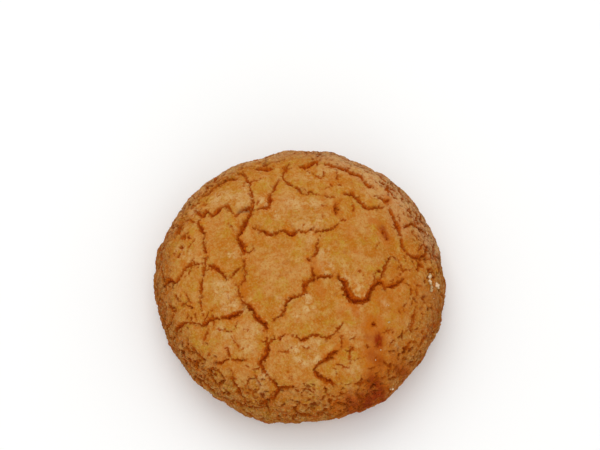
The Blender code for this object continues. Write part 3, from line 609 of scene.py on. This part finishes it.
def patches(spots, places):
    """Soft-edged patches, each along a short line with a radius and a strength."""
    wander = [rough_noise(places, PATCH_WANDER_APART, 4, layer) for layer in (11.0, 17.0)]
    low = 1.0 - eased(*LOW_BAND, places[:, 2])
    seen = places[:, :2] + ((PATCH_WANDER + PATCH_WANDER_LOW * low) * wander).T
    total = np.zeros(len(places))
    for x, y, end_x, end_y, radius, strength in spots:
        run = np.array([end_x - x, end_y - y])
        away = seen - (x, y)
        share = np.clip(away @ run / max(run @ run, 1e-6), 0.0, 1.0)
        gap = np.hypot(*(away - share[:, None] * run).T)
        total = np.maximum(total, strength * (1.0 - eased(*PATCH_EDGE, gap / radius)))
    return total


# The crust's surface: plates that sink to their cracks or lift at a lip, crumb in the cracks,
# fine wrinkles and grain. It is measured at places on the disc, with what each place looks like.
MOUTH_SHARE = 0.5
CUT_SHARE = 0.9
SHOULDER_DROP = 0.45
SHOULDER_REACH = 1.4
LIP_LIFT = 0.7
LIP_REACH = 2.2
SHOULDER_ENDS = (-2.0, 3.0)
PULL_SHARE = 1.3
PULL_LOSS = 0.2
LIP_EDGE = 0.3
END_TAPER = (-0.1, 0.9)
END_MOUTH = 0.45
END_DEPTH = 0.6
WIDE_MOUTHS = (0.5, 1.0)
CORE_SHARE = 0.75
CORE_EDGE = 0.5
FAINTEST_CORE = 0.35
CRACK_REACH = 8.0
SEAM_REACH = 2.5
WALL = 0.12
WALL_SHARE = 0.28
JAG = 0.32
JAG_APART = 1.1
FRAY = 0.28
FRAY_APART = 0.55
BRIDGES_APART = 1.2
BRIDGE_BAND = (-0.2, 0.15)
BRIDGE_SHARE = 1.2
FAINTEST_HALO = 0.25
HALO_REACH = 0.45
HALO_SHARE = 0.9
TEAR_SHOWN = 0.25
BEND = 0.3
BEND_APART = 3.4
CRUMB_APART = 0.8
CRUMB_SHARE = 0.25
FLANK_BAND = (26.0, 42.0)
FLANK_WANDER = 3.0
FLANK_WANDER_APART = 9.0
PATCH_STEP = 0.04
PATCH_STEP_FLANK = 0.22
Relief = collections.namedtuple("Relief", "apart octaves layer tall tall_flank crest")
RELIEFS = (
    Relief(3.0, 2, 6.6, 0.14, 0.05, 0.35),
    Relief(1.5, 3, 8.8, 0.08, 0.08, 0.55),
    Relief(0.7, 2, 4.4, 0.06, 0.10, 0.6),
)
CREST_SHARE = 0.55


def opened_by(gap, half):
    """1 well inside a split, 0 outside it, and a steep wall between them that suits its width."""
    wall = WALL + WALL_SHARE * half
    return eased(0.0, 1.0, (half + 0.5 * wall - gap) / wall)


def crust_surface(flats):
    """(height over the turned form, and the looks there by name) at places on the disc."""
    places = wrapped(flats)
    reach = np.hypot(flats[:, 0], flats[:, 1])
    flank = eased(*FLANK_BAND, reach + FLANK_WANDER * soft_noise(places, FLANK_WANDER_APART, 2.2))
    height = sum(tall * soft_noise(places, apart) for apart, tall in SWELLS)
    jag = np.column_stack([rough_noise(places, JAG_APART, 4, layer, 0.5) for layer in (3.7, 9.1)])
    bend = np.column_stack([soft_noise(places, BEND_APART, layer) for layer in (12.3, 15.8)])
    torn = flats + JAG * jag
    ragged = rough_noise(places, FRAY_APART, 2, 19.4)
    bridged = rough_noise(places, BRIDGES_APART, 2, 23.1)
    cut, halo, core, wide, pitted = (np.zeros(len(flats)) for _ in range(5))
    for number, line in enumerate(lines):
        scope = CRACK_REACH if number < len(CRACKS) else SEAM_REACH
        near, gap, side, along = beside(torn, line, scope)
        gap = np.maximum(0.0, gap + FRAY * ragged[near])
        last = len(line.points) - 1
        from_end = np.minimum(along, last - along) * ROUTE_STEP
        mouth = np.interp(along, range(last + 1), line.mouth)
        deep = np.interp(along, range(last + 1), line.depth)
        taper = eased(*END_TAPER, from_end)
        pull = float(np.clip(PULL_SHARE * line.mouth.mean() - PULL_LOSS, 0.0, 1.0))
        pull *= eased(*SHOULDER_ENDS, from_end)
        half = MOUTH_SHARE * mouth * (END_MOUTH + (1 - END_MOUTH) * taper)
        opened = opened_by(gap, half) * eased(*BRIDGE_BAND, bridged[near] + BRIDGE_SHARE * mouth)
        deep *= CUT_SHARE * (END_DEPTH + (1 - END_DEPTH) * taper)
        cut[near] = np.maximum(cut[near], deep * opened)
        wide[near] = np.maximum(wide[near], opened * eased(*WIDE_MOUTHS, mouth))
        inner = eased(0.0, 1.0, (CORE_SHARE * half - gap) / (CORE_EDGE * half))
        core[near] = np.maximum(core[near], inner * opened * np.clip(mouth, FAINTEST_CORE, 1.0))
        fading = np.exp(-np.maximum(0.0, gap - half) / (HALO_REACH + HALO_SHARE * mouth))
        warm = np.clip(FAINTEST_HALO + (1 - FAINTEST_HALO) * mouth, 0.0, 1.0)
        halo[near] = np.maximum(halo[near], warm * fading)
        height[near] -= pull * SHOULDER_DROP * np.exp(-((gap / SHOULDER_REACH) ** 2))
        if line.raised:
            lifted = eased(-LIP_EDGE, LIP_EDGE, side * gap * line.raised)
            height[near] += pull * LIP_LIFT * lifted * np.exp(-gap / LIP_REACH)
    share, radius = off_centre(holes, flats + HOLE_JAG * jag)
    gap = np.maximum(0.0, share * radius + HOLE_FRAY * ragged)
    opened = opened_by(gap, HOLE_MOUTH * radius)
    cut = np.maximum(cut, holes.depth * np.clip(radius / USUAL_HOLE, *USUAL_DEPTHS) * opened)
    inner = eased(0.0, 1.0, (HOLE_CORE * radius - gap) / (CORE_EDGE * radius))
    core = np.maximum(core, inner * opened)
    wide = np.maximum(wide, opened * eased(*HOLE_WIDE, radius))
    halo = np.maximum(halo, np.exp(-np.maximum(0.0, gap - radius) / HOLE_HALO))
    height -= cut * (1.0 + CRUMB_SHARE * rough_noise(places, CRUMB_APART, 3, 1.3))
    height += (PATCH_STEP + PATCH_STEP_FLANK * flank) * patch_steps(torn + BEND * bend)
    for found in pitted_groups:
        bowl = np.clip(1.0 - off_centre(found, torn)[0] ** 2, 0.0, 1.0)
        height -= found.depth * bowl
        pitted = np.maximum(pitted, np.clip(PIT_SHOWN * bowl, 0.0, 1.0) * found.depth / DEEPEST_PIT)
    # The crest: how high the fine relief stands; the colour is paler on its crests, partly as painted
    # highlight, and amber in its hollows as painted shade
    crest = CREST_SHARE
    for relief in RELIEFS:
        bumps = rough_noise(places, relief.apart, relief.octaves, relief.layer)
        height += (relief.tall + relief.tall_flank * flank) * bumps
        crest = crest + relief.crest * bumps
    looks = {"tear": np.clip(cut / TEAR_SHOWN, 0.0, 1.0), "wide": wide, "core": core, "halo": halo,
             "flank": flank, "pit": pitted, "crest": np.clip(crest, 0.0, 1.0)}
    for name, spots in (("recess", RECESS), ("toast", TOASTED), ("pale", PALE_AND_HIGHLIT), ("glow", GLOWS),
                        ("rim_sheen", RIM_SHEEN), ("flank_shade", FLANK_SHADE)):
        looks[name] = patches(spots, places)
    height -= RECESS_DROP * looks["recess"]
    fade = np.minimum(1.0, (SKIN_REACH - reach) / FOOT_FADE)
    return height * fade, looks


# The mesh of the mound: rings of points, close together in the cracks and wider apart on the
# plates, joined into triangles on the disc, and a flat browned underside with a fine relief, as
# the macaroon baked on a flat sheet
FINE_STEP = 0.18
PLATE_STEP = 0.48
FLANK_STEP = 0.38
FLANK_START = 27.0
FINE_MARGIN = 0.35
THIN_MARGIN = 0.12
RIM_INSET = 0.2
FOOT_STEP = 1.0
FOOT_RELIEF = 0.25
FOOT_PITTED = (0.05, 0.6)


def torn_or_pitted(flats):
    """Whether each place lies in or right beside a crack or one of the deeper pits."""
    found = np.zeros(len(flats), bool)
    for number, line in enumerate(lines):
        margin = FINE_MARGIN if number < len(CRACKS) else THIN_MARGIN
        near, gap, _, along = beside(flats, line, MOUTH_SHARE * line.mouth.max() + margin)
        mouth = np.interp(along, range(len(line.points)), line.mouth)
        found[near[gap < MOUTH_SHARE * mouth + margin]] = True
    for group in [holes] + pitted_groups[:2]:
        share, radius = off_centre(group, flats)
        found |= (share - 1.0) * radius < THIN_MARGIN
    return found


def circle(radius, step):
    """Places on a circle, about one step apart."""
    count = round(2 * math.pi * radius / step)
    angle = 2 * math.pi * np.arange(count) / count
    return radius * np.column_stack([np.cos(angle), np.sin(angle)])


def joined(flats, upwards):
    """Triangles between places on the disc, wound to face up or down."""
    faces = triangles_between(flats)
    a, b, c = flats[faces[:, 0]], flats[faces[:, 1]], flats[faces[:, 2]]
    turn = (b[:, 0] - a[:, 0]) * (c[:, 1] - a[:, 1]) - (b[:, 1] - a[:, 1]) * (c[:, 0] - a[:, 0])
    wrong = (turn > 0) != upwards
    faces[wrong] = faces[wrong][:, ::-1]
    return faces


on_flank = ring_lattice(FLANK_STEP, SKIN_REACH - RIM_INSET)
on_flank = on_flank[np.hypot(*on_flank.T) > FLANK_START + FLANK_STEP / 2]
coarse = np.concatenate([ring_lattice(PLATE_STEP, FLANK_START), on_flank])
fine = ring_lattice(FINE_STEP, SKIN_REACH - RIM_INSET)
edge = circle(SKIN_REACH, FLANK_STEP * SKIN_REACH * 2 / FOOT_WIDTH)
crust_flats = np.concatenate([coarse[~torn_or_pitted(coarse)], fine[torn_or_pitted(fine)], edge])
crust_height, looks = crust_surface(crust_flats)
crust_places = wrapped(crust_flats, crust_height)
crust_faces = joined(crust_flats, True)

rim = np.arange(len(crust_flats) - len(edge), len(crust_flats))
foot_rings = range(1, int(FOOT_WIDTH / 2 / FOOT_STEP))
foot_circles = [circle(ring * FOOT_STEP, FOOT_STEP) for ring in foot_rings]
foot_flats = np.concatenate([np.zeros((1, 2))] + foot_circles)
foot_places = np.column_stack([foot_flats, np.zeros(len(foot_flats))])
foot_places[:, 2] = FOOT_RELIEF * eased(*FOOT_PITTED, rough_noise(foot_places, 3.0, 4, 8.2))
foot_index = np.concatenate([np.arange(len(foot_flats)) + len(crust_flats), rim])
foot_faces = foot_index[joined(np.concatenate([foot_flats, crust_places[rim, :2]]), False)]

all_places = np.concatenate([crust_places, foot_places])
all_faces = np.concatenate([crust_faces, foot_faces])
middle = (all_places.max(axis=0) + all_places.min(axis=0)) / 2
all_places -= (middle[0], middle[1], all_places[:, 2].min())


def mesh_object(name, places, faces):
    """A smooth-shaded mesh from places in millimetres."""
    mesh = bpy.data.meshes.new(name)
    mesh.vertices.add(len(places))
    mesh.vertices.foreach_set("co", (places * MM).ravel())
    mesh.loops.add(faces.size)
    mesh.loops.foreach_set("vertex_index", faces.ravel().astype(np.int32))
    mesh.polygons.add(len(faces))
    mesh.polygons.foreach_set("loop_start", np.arange(0, faces.size, faces.shape[1], dtype=np.int32))
    mesh.update(calc_edges=True)
    mesh.validate()
    mesh.shade_smooth()
    made = bpy.data.objects.new(name, mesh)
    bpy.context.scene.collection.objects.link(made)
    return made


macaroon = mesh_object("crust", all_places, all_faces)


def paint(thing, name, values):
    """Stores one value for each corner point, which a material reads by name."""
    layer = thing.data.attributes.new(name, "FLOAT", "POINT")
    layer.data.foreach_set("value", values.astype(np.float32))


foot_blank = np.zeros(len(foot_flats))
for name, values in looks.items():
    paint(macaroon, name, np.concatenate([values, foot_blank + (name == "flank")]))


def node(tree, kind, inputs, **settings):
    """A new node whose inputs are linked to other nodes' outputs or set to plain values."""
    made = tree.nodes.new(kind)
    for key, value in settings.items():
        setattr(made, key, value)
    for key, value in inputs.items():
        if isinstance(value, bpy.types.NodeSocket):
            tree.links.new(value, made.inputs[key])
        else:
            made.inputs[key].default_value = value
    return made


def mask_group(name, inputs):
    """A node group for a mask with these named inputs: the group, its inputs' values, the place on
    the piece, and how many patches of its size there are to the metre."""
    tree = bpy.data.node_groups.new(name, "ShaderNodeTree")
    for socket, value in inputs.items():
        made = tree.interface.new_socket(name=socket, in_out="INPUT", socket_type="NodeSocketFloat")
        made.default_value = value
    tree.interface.new_socket(name="Mask", in_out="OUTPUT", socket_type="NodeSocketFloat")
    source = node(tree, "NodeGroupInput", {}).outputs
    scale = node(tree, "ShaderNodeMath", {0: 1.0 / MM, 1: source["Size"]}, operation="DIVIDE").outputs[0]
    return tree, source, node(tree, "ShaderNodeTexCoord", {}).outputs["Object"], scale


def mottle_group():
    """Cloudy mottling: a soft mask from 0 to 1 with patches of a given size in millimetres."""
    inputs = {"Size": 5.0, "Detail": 3.0, "Low": 0.35, "High": 0.65, "Layer": 0.0}
    tree, source, place, scale = mask_group("mottling", inputs)
    clouded = {"Vector": place, "Scale": scale, "Detail": source["Detail"], "W": source["Layer"],
               "Roughness": 0.6}
    cloud = node(tree, "ShaderNodeTexNoise", clouded, noise_dimensions="4D")
    spread = node(tree, "ShaderNodeMapRange", {"Value": cloud.outputs["Fac"], "From Min": source["Low"],
                                               "From Max": source["High"]}, interpolation_type="SMOOTHSTEP")
    node(tree, "NodeGroupOutput", {"Mask": spread.outputs["Result"]})
    return tree


def craze_group():
    """Fine crazing: a mask of thin crooked seams between patches of a given size in millimetres."""
    inputs = {"Size": 1.6, "Width": 0.08, "Crookedness": 0.3}
    tree, source, place, scale = mask_group("crazing", inputs)
    units = node(tree, "ShaderNodeVectorMath", {"Vector": place, "Scale": scale}, operation="SCALE")
    units = units.outputs[0]
    wander = node(tree, "ShaderNodeTexNoise", {"Vector": units, "Scale": 1.7, "Detail": 4.0})
    crooked = node(tree, "ShaderNodeVectorMath", {"Vector": wander.outputs["Color"],
                                                  "Scale": source["Crookedness"]}, operation="SCALE")
    moved = node(tree, "ShaderNodeVectorMath", {0: units, 1: crooked.outputs[0]}, operation="ADD")
    cells = node(tree, "ShaderNodeTexVoronoi", {"Vector": moved.outputs[0], "Scale": 1.0},
                 feature="DISTANCE_TO_EDGE")
    seam = node(tree, "ShaderNodeMapRange", {"Value": cells.outputs["Distance"], "From Min": 0.0,
                                             "From Max": source["Width"], "To Min": 1.0, "To Max": 0.0},
                interpolation_type="SMOOTHSTEP")
    node(tree, "NodeGroupOutput", {"Mask": seam.outputs["Result"]})
    return tree


MOTTLING = mottle_group()
CRAZING = craze_group()


def placed(tree, group, *values):
    """The mask of a node group placed in a material, with its own values in the inputs' order."""
    made = node(tree, "ShaderNodeGroup", {}, node_tree=group)
    for socket, value in zip(made.inputs, values):
        socket.default_value = value
    return made.outputs["Mask"]


def painted(tree, name):
    """The values painted on the mesh under a name."""
    return node(tree, "ShaderNodeAttribute", {}, attribute_name=name).outputs["Fac"]


def scaled(tree, first, second, operation="MULTIPLY"):
    """Arithmetic on a mask with a number or with another mask."""
    made = node(tree, "ShaderNodeMath", {0: first, 1: second}, operation=operation, use_clamp=True)
    return made.outputs[0]


def linear(red, green, blue):
    """A colour as seen, 0 to 255, as the light it reflects."""
    shares = [value / 255 for value in (red, green, blue)]
    return tuple(s / 12.92 if s <= 0.04045 else ((s + 0.055) / 1.055) ** 2.4 for s in shares) + (1.0,)


def tinted(tree, under, over, mask):
    """One colour laid over another by a mask."""
    return node(tree, "ShaderNodeMix", {0: mask, 6: under, 7: over}, data_type="RGBA").outputs[2]


GOLD = linear(185, 121, 29)
STRAW = linear(190, 142, 46)
BLOOM = linear(204, 150, 80)
CREAM = linear(214, 172, 112)
# The next colour is the pale pink of the painted sheen on the back rim
SHEEN_PINK = linear(208, 156, 106)
AMBER = linear(188, 98, 12)
BROWN = linear(158, 90, 24)
# The next colour is the brown of the painted shade low on the flanks
SHADE_BROWN = linear(142, 70, 14)
RUSSET = linear(158, 66, 6)
SCORCHED = linear(146, 46, 2)
EMBER = linear(204, 98, 6)
TAWNY = linear(190, 96, 12)
UMBER = linear(184, 88, 6)
DEEP = linear(158, 58, 4)
CRUMB = linear(160, 108, 60)

# Clouds of mottling by name: (size, detail, low, high, layer), with the sizes in millimetres
CLOUDS = {
    "bloom clouds": (6.0, 6.0, 0.46, 0.58, 1.0),
    "straw clouds": (4.0, 6.0, 0.48, 0.60, 2.0),
    "cream clouds": (1.6, 4.0, 0.40, 0.62, 3.0),
    "toast clouds": (1.6, 5.0, 0.26, 0.50, 4.0),
    "pale specks": (0.5, 3.0, 0.48, 0.62, 5.0),
    "amber specks": (0.6, 3.0, 0.50, 0.64, 6.0),
    "grain": (0.5, 5.0, 0.2, 0.8, 7.0),
    "ember clouds": (2.2, 5.0, 0.40, 0.56, 9.0),
    "crest clouds": (2.0, 3.0, 0.45, 0.65, 10.0),
    "sheen clouds": (2.6, 4.0, 0.26, 0.46, 11.0),
    "crumbs": (0.9, 5.0, 0.50, 0.64, 13.0),
    "rough crumbs": (1.1, 6.0, 0.35, 0.65, 14.0),
    "flecks": (0.7, 4.0, 0.50, 0.62, 15.0),
    "flank clouds": (3.0, 4.0, 0.42, 0.54, 16.0),
    "plate clouds": (4.0, 4.0, 0.52, 0.60, 17.0),
}

# Crazing: (size, width, crookedness)
FLANK_CRAZING = (2.0, 0.13, 0.8)
PLATE_CRAZING = (3.4, 0.03, 0.9)

# The colours over the gold, each laid over the ones before it: (colour, strength, masks)
LAYERS = (
    (BLOOM, 1.0, "bloom clouds"),
    (STRAW, 1.0, "straw clouds"),
    # browner on the flank: partly the flank's own browning, partly painted shade
    (BROWN, 0.2, "flank"),
    # painted shade low on the flanks
    (SHADE_BROWN, 0.7, "flank_shade"),
    (STRAW, 0.6, "halo"),
    (EMBER, 1.0, "halo", "ember clouds"),
    # painted sheen on the back rim
    (SHEEN_PINK, 1.0, "rim_sheen", "sheen clouds"),
    # painted shade in the hollows of the fine relief
    (AMBER, 0.7, "hollow_shade", "outside_sheen"),
    # paler on the crests of the fine relief, partly painted highlight
    (BLOOM, 1.0, "crest", "crest clouds"),
    # pale patches, partly painted highlight
    (CREAM, 1.0, "pale", "cream clouds"),
    (BLOOM, 0.45, "pale specks"),
    (AMBER, 0.55, "amber specks"),
    (RUSSET, 0.4, "flank", "outside_sheen", "crumbs"),
    (CREAM, 0.4, "flank", "flecks"),
    (RUSSET, 0.85, "flank seams"),
    (AMBER, 0.6, "plate seams"),
    (TAWNY, 0.75, "glow"),
    (CRUMB, 1.0, "recess"),
    (SCORCHED, 1.0, "toast", "toast clouds"),
    (RUSSET, 0.9, "pit"),
    (UMBER, 1.0, "tear"),
    (EMBER, 1.0, "wide"),
    (DEEP, 1.0, "core"),
)


def relief_normal(tree, height, distance, under):
    """The normal of a fine relief of a given height in metres, over another one or none."""
    inputs = {"Strength": 0.9, "Distance": distance, "Height": height, **under}
    return node(tree, "ShaderNodeBump", inputs).outputs["Normal"]


def crust_material():
    """Matt baked crust: straw and gold with a pale bloom, amber by the cracks, russet inside them."""
    material = bpy.data.materials.new("baked_crust")
    material.use_nodes = True
    tree = material.node_tree
    shader = tree.nodes["Principled BSDF"]
    masks = {name: placed(tree, MOTTLING, *cloud) for name, cloud in CLOUDS.items()}
    masks.update((name, painted(tree, name)) for name in looks)
    # the hollows of the fine relief, for their painted shade
    masks["hollow_shade"] = scaled(tree, 1.0, masks["crest"], "SUBTRACT")
    # the mask of where the painted sheen is not
    masks["outside_sheen"] = scaled(tree, 1.0, scaled(tree, masks["rim_sheen"], 0.8), "SUBTRACT")
    crazed_flank = scaled(tree, masks["flank"], masks["flank clouds"])
    masks["flank seams"] = scaled(tree, crazed_flank, placed(tree, CRAZING, *FLANK_CRAZING))
    masks["plate seams"] = scaled(tree, masks["plate clouds"], placed(tree, CRAZING, *PLATE_CRAZING))
    colour = GOLD
    for over, strength, *names in LAYERS:
        mask = masks[names[0]]
        for name in names[1:]:
            mask = scaled(tree, mask, masks[name])
        colour = tinted(tree, colour, over, scaled(tree, mask, strength))
    tree.links.new(colour, shader.inputs["Base Color"])
    shader.inputs["Roughness"].default_value = 0.85
    shader.inputs["Specular IOR Level"].default_value = 0.06
    scales = scaled(tree, masks["flank"], masks["rough crumbs"])
    scales = scaled(tree, scales, masks["flank seams"], "SUBTRACT")
    normal = relief_normal(tree, scales, 0.6 * MM, {})
    normal = relief_normal(tree, masks["grain"], 0.3 * MM, {"Normal": normal})
    tree.links.new(normal, shader.inputs["Normal"])
    return material


macaroon.data.materials.append(crust_material())
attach(macaroon, "root")
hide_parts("macaroon")

# The sugar: grains that clung to the outside of the crust and never melted, most of them in two
# lumps low on the right. Each is a small cut crystal, partly sunk in the crust. A spot is a line
# seen from above, (x, y, x, y, count, size), with its grains spread along it.
SUGAR_SPOTS = (
    (30.5, -0.5, 31, -4.5, 16, 0.6), (32.5, -2.4, 32.5, -3.4, 7, 0.7), (19, -14, 21.5, -13.5, 3, 0.3),
    (17.5, -22, 17.5, -22, 1, 0.35), (18.5, -20, 18.5, -20, 1, 0.3), (21, -27, 21.5, -27, 2, 0.6),
    (19.5, -9.5, 22, -11, 2, 0.28), (31, -6.5, 31.5, -6.5, 1, 0.35), (30, 11, 30.5, 10.5, 2, 0.3),
)
SUGAR_CHAMFER = 0.22
SUGAR_RISE = 0.15
SUGAR_SHAPES = (0.6, 1.0)
SUGAR_SIZES = (0.7, 1.2)
SUGAR_SCATTER = 0.4
SUGAR_CLOUDS = (1.2, 3.0, 0.42, 0.60, 12.0)
SUGAR_SHADED = linear(178, 146, 96)
SUGAR_LIT = linear(222, 190, 150)
SUGAR_SEED = 41


def cut_crystal(body, place, normal, size, draw):
    """Adds a block with bevelled edges and a random turn, partly sunk at a place on the crust."""
    made = bmesh.ops.create_cube(body, size=1.0)
    corners = made["verts"]
    edges = list({edge for corner in corners for edge in corner.link_edges})
    cut = bmesh.ops.bevel(body, geom=edges, offset=SUGAR_CHAMFER, segments=1, affect="EDGES")
    corners = {corner for face in cut["faces"] for corner in face.verts}
    turn = Euler([draw.uniform(0, 2 * math.pi) for _ in range(3)]).to_matrix()
    stretch = Matrix.Diagonal([size * draw.uniform(*SUGAR_SHAPES) for _ in range(3)])
    for corner in corners:
        corner.co = (place + normal * size * SUGAR_RISE + turn @ stretch @ corner.co) * MM


sugar_mesh = bmesh.new()
crust_tree = BVHTree.FromPolygons(all_places.tolist(), all_faces.tolist())
draw = random.Random(SUGAR_SEED)
for x, y, end_x, end_y, count, size in SUGAR_SPOTS:
    for _ in range(count):
        along = draw.random()
        side_x, side_y = (draw.uniform(-SUGAR_SCATTER, SUGAR_SCATTER) * size for _ in range(2))
        grain_x = x + (end_x - x) * along + side_x - middle[0]
        grain_y = y + (end_y - y) * along + side_y - middle[1]
        above = Vector((grain_x, grain_y, 2 * HEIGHT))
        place, normal, _, _ = crust_tree.ray_cast(above, Vector((0, 0, -1)))
        cut_crystal(sugar_mesh, place, normal, size * draw.uniform(*SUGAR_SIZES), draw)
mesh = bpy.data.meshes.new("sugar")
sugar_mesh.to_mesh(mesh)
sugar_mesh.free()
sugar = bpy.data.objects.new("sugar", mesh)
bpy.context.scene.collection.objects.link(sugar)
sugar_material = bpy.data.materials.new("sugar_grains")
sugar_material.use_nodes = True
sugar_tree = sugar_material.node_tree
sugar_shader = sugar_tree.nodes["Principled BSDF"]
sugar_clouds = placed(sugar_tree, MOTTLING, *SUGAR_CLOUDS)
sugar_colour = tinted(sugar_tree, SUGAR_SHADED, SUGAR_LIT, sugar_clouds)
sugar_tree.links.new(sugar_colour, sugar_shader.inputs["Base Color"])
sugar_shader.inputs["Roughness"].default_value = 0.4
sugar_shader.inputs["Specular IOR Level"].default_value = 0.35
mesh.materials.append(sugar_material)
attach(sugar, "root")

# The floor: a plain matt tabletop, almost white, that lies under the macaroon and far out round
# it, where its soft shadow falls
FLOOR_SIDE = 6.0
FLOOR_COLOUR = (0.94, 0.94, 0.93, 1.0)
bpy.ops.mesh.primitive_plane_add(size=FLOOR_SIDE)
floor = bpy.context.object
floor.name = "floor"
floor_material = bpy.data.materials.new("pale_floor")
floor_material.use_nodes = True
floor_shader = floor_material.node_tree.nodes["Principled BSDF"]
floor_shader.inputs["Base Color"].default_value = FLOOR_COLOUR
floor_shader.inputs["Roughness"].default_value = 0.9
floor.data.materials.append(floor_material)

# The light: a wide soft light from high behind, a weaker one in front, and an even pale surround
world = bpy.data.worlds.new("surround")
world.use_nodes = True
surround = world.node_tree.nodes["Background"]
surround.inputs["Color"].default_value = (1.0, 1.0, 1.0, 1.0)
surround.inputs["Strength"].default_value = 0.84
bpy.context.scene.world = world


def soft_light(name, place, side, watts):
    """A square light that faces the macaroon and that no camera sees."""
    lamp = bpy.data.lights.new(name, "AREA")
    lamp.size = side
    lamp.energy = watts
    made = bpy.data.objects.new(name, lamp)
    made.location = place
    made.rotation_euler = (-Vector(place)).to_track_quat("-Z", "Y").to_euler()
    made.visible_camera = False
    bpy.context.scene.collection.objects.link(made)


soft_light("back_window", place=(-0.15, 0.70, 0.90), side=0.9, watts=3.8)
soft_light("front_fill", place=(0.10, -1.00, 0.45), side=0.9, watts=2.2)
bpy.context.scene.view_settings.view_transform = "Standard"

# The camera: it looks down at the front of the macaroon from 71 degrees above its base, with the
# middle of the outline below the middle of the picture
IMAGE = (600, 450)
OUTLINE_MIDDLE = (300, 284)
PIXELS_PER_MM = 4.157
VIEW_ANGLE = math.radians(71.0)
CAMERA_DISTANCE = 400.0
TARGET_HEIGHT = 8.0
SENSOR = 36.0
focal_pixels = PIXELS_PER_MM * CAMERA_DISTANCE
drop = math.atan((OUTLINE_MIDDLE[1] - IMAGE[1] / 2) / focal_pixels)
lens = bpy.data.cameras.new("camera")
lens.sensor_width = SENSOR
lens.lens = focal_pixels * SENSOR / IMAGE[0]
lens.clip_start = 0.01
camera = bpy.data.objects.new("camera", lens)
target = Vector((0.0, 0.0, TARGET_HEIGHT)) * MM
towards = Vector((0.0, -math.cos(VIEW_ANGLE), math.sin(VIEW_ANGLE)))
camera.location = target + towards * CAMERA_DISTANCE * MM
camera.rotation_euler = (math.pi / 2 - VIEW_ANGLE + drop, 0.0, 0.0)
bpy.context.scene.collection.objects.link(camera)
bpy.context.scene.camera = camera
